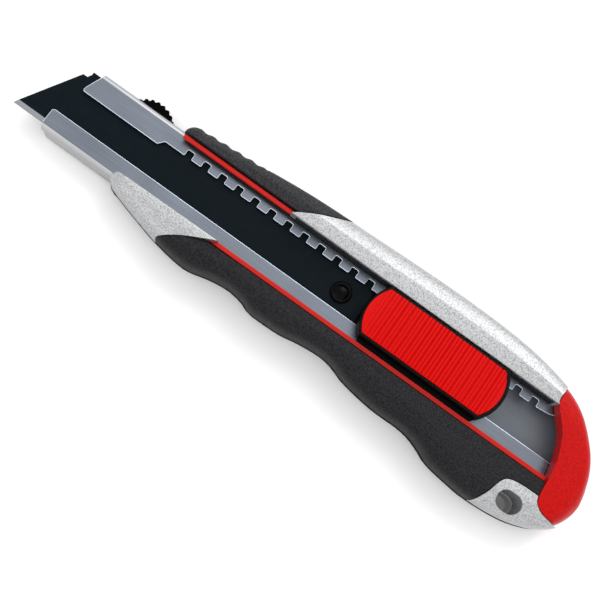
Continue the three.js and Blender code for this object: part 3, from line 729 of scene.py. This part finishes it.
class KNIFE_OT_slider(bpy.types.Operator):
    """Moulds the slider's rimmed body and its ribbed pad"""
    bl_idname = "knife.slider"
    bl_label = "Thumb slider"

    def execute(self, context):
        self.body()
        self.pad(context.scene.knife_slider)
        return {"FINISHED"}

    def body(self):
        low, high = SLIDER_LOW, SLIDER_HIGH
        half = (high.y - low.y) / 2
        flange_z = RAIL_HIGH.z + 1.2
        shell = prism(bulged(low.x, high.x, half, 2.6), flange_z, high.z)
        top = [e for e in shell.edges if all(v.co.z > high.z - 1e-4 for v in e.verts)]
        bevel_edges(shell, top, 0.35, 3)
        piece = to_object(shell, "slider_shell")
        # black foot under the shell, reaching 1 mm past it on the finger side: partly the slider's
        # real base, partly a dark band standing in for the slider's shadow on the lower lip
        # (painted shade)
        foot = prism([(low.x + 3, RAIL_Y - half - 1.0), (high.x - 3, RAIL_Y - half - 1.0),
                      (high.x - 3, RAIL_Y + half - 0.6), (low.x + 3, RAIL_Y + half - 0.6)],
                     RAIL_HIGH.z + 0.3, flange_z + 0.2, 1.0)
        cut(piece, foot, "UNION")
        neck = prism([(24, -0.8), (44, -0.8), (44, 7.9), (24, 7.9)], low.z, RAIL_HIGH.z + 0.5, 0.6)
        cut(piece, neck, "UNION")
        room = 0.12
        pocket = prism(bulged(PAD_LOW.x - room, PAD_HIGH.x + room, PAD_HALF + room,
                              PAD_BULGE + 0.02), PAD_LOW.z - 0.2, high.z + 1)
        cut(piece, pocket)
        finish(piece, "slider", ["slider_frame"], [MATERIALS["nylon"]])

    def pad(self, shape):
        low, high = PAD_LOW, PAD_HIGH
        pitch, groove = shape.rib_pitch / MM, shape.groove / MM
        front = shape.smooth_front / MM
        bm = bmesh.new()
        matrix = Matrix.Translation(((low.x + high.x) / 2, RAIL_Y, high.z))
        matrix = matrix @ Matrix.Diagonal((high.x - low.x + 1, high.y - low.y + 1, 1, 1))
        bmesh.ops.create_grid(bm, x_segments=400, y_segments=24, size=0.5, matrix=matrix)
        for vert in bm.verts:
            along = 2 * (vert.co.x - low.x) / (high.x - low.x) - 1
            across = (vert.co.y - RAIL_Y) / PAD_HALF
            phase = ((vert.co.x - low.x - 0.7) / pitch) % 1.0
            fine = max(0.0, 1 - min(phase, 1 - phase) / 0.13)
            dip = max(0.0, 1 - abs(phase - 0.5) / 0.2, 0.62 * fine)
            shallow = mix(0.35, 1.0, min(1.0, max(0.0, (vert.co.x - low.x) / front)))
            edge = max(0.0, 1 - (1 - abs(along)) * 9)
            crown = 0.55 * along ** 4 + 0.22 * across ** 2
            vert.co.z -= groove * shallow * (1 - edge) * dip * dip * (3 - 2 * dip) + crown
        for vert in extruded(bm, bm.faces[:]):
            vert.co.z = low.z
        bmesh.ops.recalc_face_normals(bm, faces=bm.faces)
        piece = to_object(bm, "pad_ribbed")
        outline = bulged(low.x, high.x, PAD_HALF, PAD_BULGE)
        cut(piece, prism(outline, low.z - 1, high.z + 1), "INTERSECT")
        finish(piece, "slider", ["slider_pad"], [MATERIALS["pad"]], smooth=40)


# ------------------------------------------------------------------ handle
BACK_LINE = [(-23, 17.6), (-11, 18.7), (5, 19.4), (25, 20.1), (36, 20.2), (48, 19.9), (58, 18.8),
             (67, 16.7), (73.3, 14.1), (79, 9.3), (83, 3.8), (85.3, -1.8), (86, -6)]
BELLY_LINE = [(-55.3, -7.2), (-54, -8.3), (-49, -10), (-42, -11.9), (-38, -12.9), (-32, -13.9),
              (-26.9, -14.1), (-21.5, -12.8), (-16, -12.1), (-11.5, -12.7), (-8.5, -13.8),
              (-4, -13.9), (1, -13.7), (6, -12.8), (12, -12.3), (16, -12.8), (19.8, -14.1),
              (25, -15), (31, -15.6), (38, -15.6), (42, -16.2), (45.4, -17.4), (48.7, -18.8),
              (54.7, -19.7), (61, -20.2), (70, -19.6), (76, -18.1), (80.5, -15.9), (83.6, -12.8),
              (85.4, -9.5), (86, -6)]
UPPER_SPLIT = [(-15, 10.6), (-12.9, 12.3), (-8.2, 15), (-4.5, 16.8), (-1, 18.6), (4, 21.4)]
WEDGE_SPLIT = [(-41, -18.5), (-38.4, -13.9), (-34, -10.4), (-29.2, -7.7), (-22, -4.2)]
CORNER_SPLIT = [(76, -10.4), (70, -10.4), (66, -11.1), (64.3, -13), (63.1, -17), (60, -24)]
CAP_BACK_LINE = [(58, 18.8), (67, 16.7), (72.9, 13.9), (78.2, 9.0), (82.1, 3.6), (84.3, -1.9),
                 (85.0, -6.2)]
CAP_BELLY_LINE = [(61, -20.2), (70, -19.6), (76, -18.1), (80.1, -15.7), (82.9, -12.7), (84.5, -9.5),
                  (85.0, -6.2)]
CAP_FACE_SPLIT = [(67.5, 24), (66.3, 16), (66, 12), (67.7, 9.3), (70.6, 5.7), (72.7, 0.8),
                  (73.7, -4), (74.2, -10.6), (76, -12.9), (80, -13.8), (90, -14)]
CAP_SPLIT = [(67.5, 24), (66.3, 16), (66, 12), (69, 9.2), (71.7, 5.9), (73.7, 0.5), (74.1, -5),
             (74.2, -10.6), (76, -12.9), (80, -13.8), (90, -14)]
BEYOND_CORNER = [(60, -30), (95, -30), (95, -10.4)]
BEYOND_CAP = [(95, -14), (95, 24)]
SEAM = 0.12
STRIP_WIDTH = 0.74
GRIP_RIBS = {"start": -44.4, "end": -25, "pitch": 3.66, "height": 0.19}


def upper_edge(x):
    """Upper silhouette of the handle, with rounded ribs over the front of the grip."""
    past, nose = x - GRIP_RIBS["start"], 2.9
    if past < 0:
        return mix(13.1, 15.95, math.sqrt(max(0.0, 1 - (past / nose) ** 2)))
    if x < GRIP_RIBS["end"]:
        wave = math.cos(2 * math.pi * past / GRIP_RIBS["pitch"])
        return 15.9 + 0.065 * past + GRIP_RIBS["height"] * wave
    return height_on([(GRIP_RIBS["end"], 17.3)] + BACK_LINE, x)


def curve_through(points, steps=8):
    """Smooth line through points, as a list."""
    line = []
    for i in range(len(points) - 1):
        p0 = points[max(i - 1, 0)]
        p1, p2 = points[i], points[i + 1]
        p3 = points[min(i + 2, len(points) - 1)]
        for k in range(steps):
            t = k / steps
            line.append(tuple(
                0.5 * (2 * b + (c - a) * t + (2 * a - 5 * b + 4 * c - d) * t * t
                       + (3 * b - a - 3 * c + d) * t ** 3)
                for a, b, c, d in zip(p0, p1, p2, p3)))
    return line + [points[-1]]


def beside(line, distance):
    """A line moved to its left by a distance."""
    moved = []
    for i, (x, y) in enumerate(line):
        (ax, ay), (bx, by) = line[max(i - 1, 0)], line[min(i + 1, len(line) - 1)]
        length = math.hypot(bx - ax, by - ay)
        moved.append((x - (by - ay) / length * distance, y + (bx - ax) / length * distance))
    return moved


def left_of(split, far, gap):
    """Tall prism of everything on the left of a dividing line."""
    return prism(beside(curve_through(split), -gap) + far, -2, 17)


def side_section(inner, outer, inner_z, face_z, base_z, edge, slope):
    """Section of a cover: inner edge, flat face, sloping shoulder and side."""
    width = abs(outer - inner)
    way = 1 if outer > inner else -1
    fit = min(edge, width / 8.5)
    fall = slope * width
    at = lambda depth: outer - way * depth * fit
    return [
        (inner, base_z), (inner, base_z), (inner, inner_z - 0.4), (inner, inner_z),
        (mix(inner, outer, 0.06), inner_z + 0.08), (mix(inner, outer, 0.4), face_z),
        (at(4.7), face_z - 0.5 * fall), (at(3.2), face_z - 0.6 * fall - 0.4 * edge),
        (at(1.7), face_z - 0.8 * fall - 1.0 * edge), (at(0.75), face_z - fall - 1.7 * edge),
        (at(0.2), face_z - fall - 3.0 * edge), (outer, face_z - fall - 4.6 * edge),
        (outer, base_z + 2.5), (at(0.25), base_z), (at(0.25), base_z),
    ]


def side_body(name, x0, x1, inner_at, outer_at, inner_z_at, face_z_at, columns, rows, edge=1.0,
              slope=0.0):
    """One side of the handle as a closed body between two stations."""
    base_z = BRIDGE_LOW.z

    def place(along, around):
        x = mix(x0, x1, along)
        control = side_section(inner_at(x), outer_at(x), inner_z_at(x), face_z_at(x), base_z, edge,
                               slope)
        y, z = round_section(control, around)
        return (x, y, z)

    return to_object(skin(columns, rows, place), name)


def split_copy(piece, name, cutter):
    """A copy of the part of a side body that lies in a cutter."""
    part = piece.copy()
    part.data = piece.data.copy()
    part.name = name
    bpy.context.scene.collection.objects.link(part)
    cut(part, cutter, "INTERSECT")
    return part


class KNIFE_OT_upper_side(bpy.types.Operator):
    """Shapes the bridge cover and the ribbed upper grip"""
    bl_idname = "knife.upper_side"
    bl_label = "Upper side"

    def execute(self, context):
        shape = context.scene.knife_handle
        face_z, ledge_z = shape.face_z / MM, shape.ledge_z / MM
        nose_x = GRIP_LOW.x

        def nose_drop(x):
            return 1.6 * (1 - math.sqrt(max(0.0, 1 - (max(0.0, nose_x + 3 - x) / 3) ** 2)))

        grip = side_body("upper_side", nose_x, 6.0, lambda x: GRIP_LOW.y - 0.15, upper_edge,
                         lambda x: ledge_z - nose_drop(x),
                         lambda x: mix(13.2, face_z, min(1.0, (x + 48) / 30)) - nose_drop(x),
                         shape.columns, shape.rows)
        bridge = side_body("bridge_side", -16.0, 70.0, lambda x: BRIDGE_LOW.y, upper_edge,
                           lambda x: face_z - 0.25, lambda x: face_z, shape.columns, shape.rows)
        far = [(-60, 24), (-60, 10)]
        cut(grip, left_of(UPPER_SPLIT, far, -SEAM), "INTERSECT")
        cut(bridge, left_of(UPPER_SPLIT, far, SEAM))
        cut(bridge, left_of(CAP_SPLIT, BEYOND_CAP, SEAM))
        grip.name = "upper_soft_grip"
        bridge.name = "bridge_shell"
        # the upper grip gets the brighter copy of the grip plastic: painted light
        finish(grip, "handle", ["upper_grip"], [MATERIALS["thumb_rubber"]],
               smooth=50)
        finish(bridge, "handle", ["bridge_cover"], [MATERIALS["silver"]], smooth=50)
        return {"FINISHED"}


class KNIFE_OT_lower_side(bpy.types.Operator):
    """Shapes the nose wedge, the finger grip and the corner with the lanyard eye"""
    bl_idname = "knife.lower_side"
    bl_label = "Lower side"

    def execute(self, context):
        shape = context.scene.knife_handle
        face_z, ledge_z = shape.face_z / MM, shape.ledge_z / MM
        belly = lambda x: height_on(BELLY_LINE, x)
        nose_x = WEDGE_LOW.x + 0.05
        top = WEDGE_HIGH.y

        def wedge_top(x):
            return min(top, height_on([(-55.3, -6.7), (-54.9, -5.7), (-54.2, top), (-50, top)], x))

        def nose_drop(x):
            return 2.4 * (1 - math.sqrt(max(0.0, 1 - (max(0.0, nose_x + 4 - x) / 4) ** 2)))

        wedge = side_body("nose_wedge_shell", nose_x, -20.0, wedge_top, belly,
                          lambda x: mix(12.8, face_z - 0.2, min(1.0, (x + 55) / 30)) - nose_drop(x),
                          lambda x: mix(13.0, face_z, min(1.0, (x + 55) / 30)) - nose_drop(x),
                          shape.columns, shape.rows, edge=0.5, slope=0.17)
        grip = side_body("lower_soft_grip", -42.0, 83.0, lambda x: BELLY_HIGH.y, belly,
                         lambda x: mix(12.4, face_z - 0.5, min(1.0, (x + 42) / 30)),
                         lambda x: mix(13.0, face_z, min(1.0, (x + 55) / 30)),
                         2 * shape.columns, shape.rows)
        corner = split_copy(grip, "lanyard_corner_shell",
                            left_of(CORNER_SPLIT, BEYOND_CORNER, -SEAM))
        wedge_far = [(-22, 0), (-60, 0), (-60, -18.5)]
        cut(wedge, left_of(WEDGE_SPLIT, wedge_far, -SEAM), "INTERSECT")
        rail_room = [(-60, RAIL_LOW.y - 0.05), (-18, RAIL_LOW.y - 0.05), (-18, 0), (-60, 0)]
        cut(wedge, prism(rail_room, 0, RAIL_HIGH.z + 0.05))
        cut(grip, left_of(WEDGE_SPLIT, wedge_far, SEAM))
        cut(grip, left_of(CORNER_SPLIT, BEYOND_CORNER, SEAM))
        cut(grip, left_of(CAP_SPLIT, BEYOND_CAP, SEAM))
        cut(corner, left_of(CAP_SPLIT, BEYOND_CAP, SEAM))
        cut(corner, self.eye(2.55))
        # pale sleeve lining the lower part of the eye, so that the hole reads lighter: painted
        # light
        sleeve = to_object(self.eye(2.5, 0.05, BRIDGE_LOW.z + 1), "lanyard_sleeve")
        cut(sleeve, self.eye(2.3))
        finish(wedge, "handle", ["nose_wedge"], [MATERIALS["silver"]], smooth=50)
        finish(grip, "handle", ["lower_grip"], [MATERIALS["rubber"]], smooth=50)
        finish(corner, "handle", ["lanyard_corner"], [MATERIALS["silver"]], smooth=50)
        finish(sleeve, "handle", [], [MATERIALS["sleeve"]], smooth=50)
        return {"FINISHED"}

    def eye(self, radius, z0=-2, z1=17):
        """Stadium-shaped prism of the lanyard eye."""
        points = []
        for side in (0, 1):
            for i in range(17):
                turn = math.pi * (side + i / 16 - 0.5)
                points.append((69 + (0.85 - 1.7 * side) + radius * math.cos(turn),
                               -15.8 + radius * math.sin(turn)))
        return prism(points, z0, z1)


class KNIFE_OT_end_cap(bpy.types.Operator):
    """Shapes the rounded red end cap"""
    bl_idname = "knife.end_cap"
    bl_label = "End cap"

    def execute(self, context):
        end, middle = CAP_BACK_LINE[-1]
        thickness, rounding, depth = CAP_HIGH.z, 6.0, 5.6

        def place(along, around):
            x = mix(60.0, end, math.sin(math.pi / 2 * along))
            high, low = height_on(CAP_BACK_LINE, x), height_on(CAP_BELLY_LINE, x)
            high, low = max(high, middle + 0.02), min(low, middle - 0.02)
            past = min(max(0.0, (x - (end - rounding)) / rounding), 0.9995)
            sink = depth * (1 - math.sqrt(1 - past ** 2))
            bottom, top = sink * 0.8, thickness - sink
            fit = min(1.0, (high - low) / 12)
            waist = (bottom + top) / 2
            control = []
            for edge, way in ((low, 1), (high, -1)):
                half = [
                    (edge, waist), (edge, mix(waist, top, 0.35)),
                    (edge + way * 0.6 * fit, mix(waist, top, 0.62)),
                    (edge + way * 1.9 * fit, mix(waist, top, 0.84)),
                    (edge + way * 4.6 * fit, mix(waist, top, 0.98)),
                ]
                under = [
                    (mix(low, high, 0.5 - 0.1 * way), bottom), (edge + way * 2.2 * fit, bottom),
                    (edge + way * 0.5 * fit, mix(bottom, waist, 0.22)),
                ]
                control.append((half, under))
            (left, left_under), (right, right_under) = control
            crown = [(mix(low, high, 0.42), top), (mix(low, high, 0.58), top)]
            loop = left + crown + right[::-1] + right_under[::-1] + left_under
            y, z = round_section(loop, around)
            return (x, y, z)

        cap = to_object(skin(150, 96, place), "end_cap_shell")
        cut(cap, left_of(CAP_FACE_SPLIT, BEYOND_CAP, -SEAM), "INTERSECT")
        room = [(60, 14.5), (69.45, 14.5), (75.25, 3), (75.25, -6.9), (60, -6.9)]
        cut(cap, prism(room, RAIL_LOW.z - 0.3, RAIL_HIGH.z + 0.6))
        finish(cap, "rear_cap", ["end_cap"], [MATERIALS["cap"]], smooth=42, bevel=0.22,
               segments=3)
        return {"FINISHED"}


class KNIFE_OT_core(bpy.types.Operator):
    """Finishes the black core and the red strips beside the rail"""
    bl_idname = "knife.core"
    bl_label = "Core and strips"

    def execute(self, context):
        core = copy_of("handle_core", "core_shell")
        finish(core, "handle", ["handle_core"], [MATERIALS["core"]], smooth=32)
        for node, name in (("upper_accent_strip", "upper_strip"),
                           ("lower_accent_strip", "lower_strip")):
            strip = copy_of(node, name)
            low, high = corners(node)
            middle = Vector((0, (low.y + high.y) / 2, 0))
            slim = Matrix.Translation(middle) @ Matrix.Diagonal((1, STRIP_WIDTH, 1, 1))
            strip.data.transform(slim @ Matrix.Translation(-middle))
            finish(strip, "handle", [node], [MATERIALS["strip"]], bevel=0.3, segments=3)
        return {"FINISHED"}


# ------------------------------------------------------------------ stage
class KNIFE_OT_stage(bpy.types.Operator):
    """Sets the floor, the soft lights and the camera"""
    bl_idname = "knife.stage"
    bl_label = "Stage"

    def execute(self, context):
        stage = context.scene.knife_stage
        self.floor()
        self.camera(context, stage)
        self.lights(context, stage)
        context.scene.view_settings.view_transform = "Standard"
        return {"FINISHED"}

    def floor(self):
        bm = bmesh.new()
        bmesh.ops.create_grid(bm, x_segments=1, y_segments=1, size=3000)
        floor = to_object(bm, "floor")
        floor.data.transform(Matrix.Scale(MM, 4))
        made = Finish("floor_white")
        made.set(Base_Color=(0.9, 0.9, 0.9, 1), Roughness=0.9, Specular_IOR_Level=0.1)
        floor.data.materials.append(made.material)

    def camera(self, context, stage):
        tilt, roll = stage.camera_tilt, stage.camera_roll
        along = Vector((1, 0, 0))
        across = Vector((0, math.cos(tilt), math.sin(tilt)))
        right = along * math.cos(roll) + across * math.sin(roll)
        up = across * math.cos(roll) - along * math.sin(roll)
        back = right.cross(up)
        target = Vector((0, -4.3 * MM, RAIL_HIGH.z * MM))
        data = bpy.data.cameras.new("camera")
        data.sensor_width = 36
        data.lens = 36 * stage.camera_distance / stage.picture_width
        data.clip_start = 0.01
        camera = bpy.data.objects.new("camera", data)
        rotation = Matrix((right, up, back)).transposed().to_4x4()
        camera.matrix_world = Matrix.Translation(target + back * stage.camera_distance) @ rotation
        context.scene.collection.objects.link(camera)
        context.scene.camera = camera

    def lights(self, context, stage):
        world = bpy.data.worlds.new("studio")
        world.use_nodes = True
        world.node_tree.nodes["Background"].inputs["Color"].default_value = (1, 1, 1, 1)
        world.node_tree.nodes["Background"].inputs["Strength"].default_value = 1.22
        context.scene.world = world
        self.area(context, "key", (0.02, 0.42, 0.55), (0, 0, 0), 0.42, stage.key_power)
        self.area(context, "rim", (0.22, 0.43, 0.31), (0.02, 0, 0), 0.13, stage.rim_power)
        self.area(context, "fill", (-0.25, -0.45, 0.5), (0, 0, 0), 0.5, stage.key_power * 0.25)

    def area(self, context, name, place, target, size, power):
        data = bpy.data.lights.new(name, "AREA")
        data.shape = "DISK"
        data.size = size
        data.energy = power
        lamp = bpy.data.objects.new(name, data)
        lamp.location = place
        way = Vector(place) - Vector(target)
        lamp.rotation_euler = way.to_track_quat("Z", "Y").to_euler()
        context.scene.collection.objects.link(lamp)


class KNIFE_PT_panel(bpy.types.Panel):
    """Lists the knife's pieces in the sidebar"""
    bl_idname = "KNIFE_PT_panel"
    bl_label = "Utility knife"
    bl_space_type = "VIEW_3D"
    bl_region_type = "UI"
    bl_category = "Knife"

    def draw(self, context):
        column = self.layout.column()
        for operator in OPERATORS:
            column.operator(operator.bl_idname)
        for group in ("knife_finishes", "knife_handle", "knife_slider", "knife_stage"):
            settings = getattr(context.scene, group)
            for name in settings.bl_rna.properties.keys():
                if name not in ("rna_type", "name"):
                    column.prop(settings, name)


OPERATORS = (KNIFE_OT_rail, KNIFE_OT_clamp, KNIFE_OT_blade, KNIFE_OT_carrier, KNIFE_OT_slider,
             KNIFE_OT_core, KNIFE_OT_upper_side, KNIFE_OT_lower_side, KNIFE_OT_end_cap,
             KNIFE_OT_stage)
SETTINGS = {
    "knife_finishes": KnifeFinishes,
    "knife_handle": KnifeHandleShape,
    "knife_slider": KnifeSliderShape,
    "knife_stage": KnifeStage,
}


def register():
    for item in (*SETTINGS.values(), *OPERATORS, KNIFE_PT_panel):
        bpy.utils.register_class(item)
    for name, group in SETTINGS.items():
        setattr(bpy.types.Scene, name, PointerProperty(type=group))


def unregister():
    for name in SETTINGS:
        delattr(bpy.types.Scene, name)
    for item in (KNIFE_PT_panel, *reversed(OPERATORS), *reversed(SETTINGS.values())):
        bpy.utils.unregister_class(item)


def main():
    register()
    make_materials(bpy.context.scene.knife_finishes)
    for operator in OPERATORS:
        _, name = operator.bl_idname.split(".")
        getattr(bpy.ops.knife, name)()


if __name__ == "__main__":
    main()
